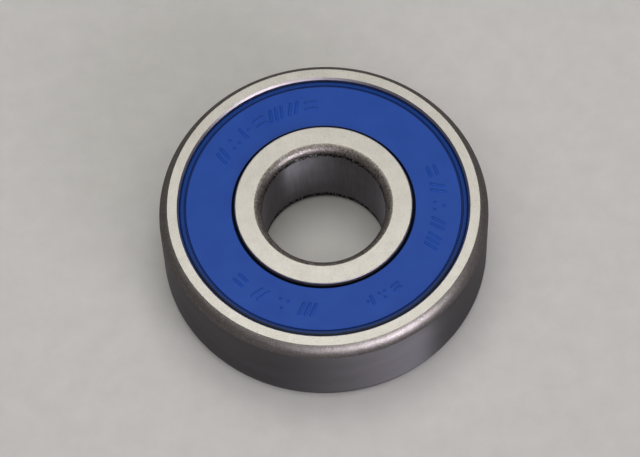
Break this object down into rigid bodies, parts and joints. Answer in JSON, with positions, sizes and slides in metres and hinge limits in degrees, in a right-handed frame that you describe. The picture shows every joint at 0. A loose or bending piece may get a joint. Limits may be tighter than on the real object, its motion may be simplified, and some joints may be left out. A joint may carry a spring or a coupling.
{
  "type": "ball bearing",
  "caption": "Single-row deep groove ball bearing with a plain bore and a blue rubber seal on each side; the inner ring turns freely inside the outer ring.",
  "frame": {"origin": "centre of the bearing: on the bore axis, midway between the faces", "axes": "+Z along the bore axis; the bearing is the same above and below, so either end may be up"},
  "size_m": [0.032, 0.032, 0.01],
  "materials": {
    "ring_steel": "satin",
    "ball_steel": "polished",
    "cage_steel": "satin",
    "rivet_steel": "satin",
    "seal_rubber": "satin",
    "washer_steel": "satin"
  },
  "bodies": {
    "outer_ring": {"outer_ring": "ring_steel", "upper_seal": "seal_rubber", "lower_seal": "seal_rubber", "upper_seal_washer": "washer_steel", "lower_seal_washer": "washer_steel"},
    "inner_ring": {"inner_ring": "ring_steel"},
    "cage": {"cage_upper": "cage_steel", "cage_lower": "cage_steel", "rivet_1": "rivet_steel", "rivet_2": "rivet_steel", "rivet_3": "rivet_steel", "rivet_4": "rivet_steel", "rivet_5": "rivet_steel", "rivet_6": "rivet_steel", "rivet_7": "rivet_steel"},
    "ball_1": {"ball_1": "ball_steel"},
    "ball_2": {"ball_2": "ball_steel"},
    "ball_3": {"ball_3": "ball_steel"},
    "ball_4": {"ball_4": "ball_steel"},
    "ball_5": {"ball_5": "ball_steel"},
    "ball_6": {"ball_6": "ball_steel"},
    "ball_7": {"ball_7": "ball_steel"}
  },
  "joints": [
    {"name": "inner_ring_spin", "type": "hinge", "parent": "outer_ring", "child": "inner_ring", "pos_m": [0, 0, 0], "axis": [0, 0, 1], "continuous": true},
    {"name": "cage_spin", "type": "hinge", "parent": "outer_ring", "child": "cage", "pos_m": [0, 0, 0], "axis": [0, 0, 1], "continuous": true},
    {"name": "ball_1_spin", "type": "hinge", "parent": "cage", "child": "ball_1", "pos_m": [0.011, 0, 0], "axis": [0, 0, 1], "continuous": true},
    {"name": "ball_2_spin", "type": "hinge", "parent": "cage", "child": "ball_2", "pos_m": [0.00686, 0.0086, 0], "axis": [0, 0, 1], "continuous": true},
    {"name": "ball_3_spin", "type": "hinge", "parent": "cage", "child": "ball_3", "pos_m": [-0.00245, 0.01072, 0], "axis": [0, 0, 1], "continuous": true},
    {"name": "ball_4_spin", "type": "hinge", "parent": "cage", "child": "ball_4", "pos_m": [-0.00991, 0.00477, 0], "axis": [0, 0, 1], "continuous": true},
    {"name": "ball_5_spin", "type": "hinge", "parent": "cage", "child": "ball_5", "pos_m": [-0.00991, -0.00477, 0], "axis": [0, 0, 1], "continuous": true},
    {"name": "ball_6_spin", "type": "hinge", "parent": "cage", "child": "ball_6", "pos_m": [-0.00245, -0.01072, 0], "axis": [0, 0, 1], "continuous": true},
    {"name": "ball_7_spin", "type": "hinge", "parent": "cage", "child": "ball_7", "pos_m": [0.00686, -0.0086, 0], "axis": [0, 0, 1], "continuous": true}
  ],
  "couplings": [
    {"joint": "cage_spin", "follows": "inner_ring_spin", "ratio": 0.36471},
    {"joint": "ball_1_spin", "follows": "inner_ring_spin", "ratio": -1.7125},
    {"joint": "ball_2_spin", "follows": "inner_ring_spin", "ratio": -1.7125},
    {"joint": "ball_3_spin", "follows": "inner_ring_spin", "ratio": -1.7125},
    {"joint": "ball_4_spin", "follows": "inner_ring_spin", "ratio": -1.7125},
    {"joint": "ball_5_spin", "follows": "inner_ring_spin", "ratio": -1.7125},
    {"joint": "ball_6_spin", "follows": "inner_ring_spin", "ratio": -1.7125},
    {"joint": "ball_7_spin", "follows": "inner_ring_spin", "ratio": -1.7125}
  ]
}
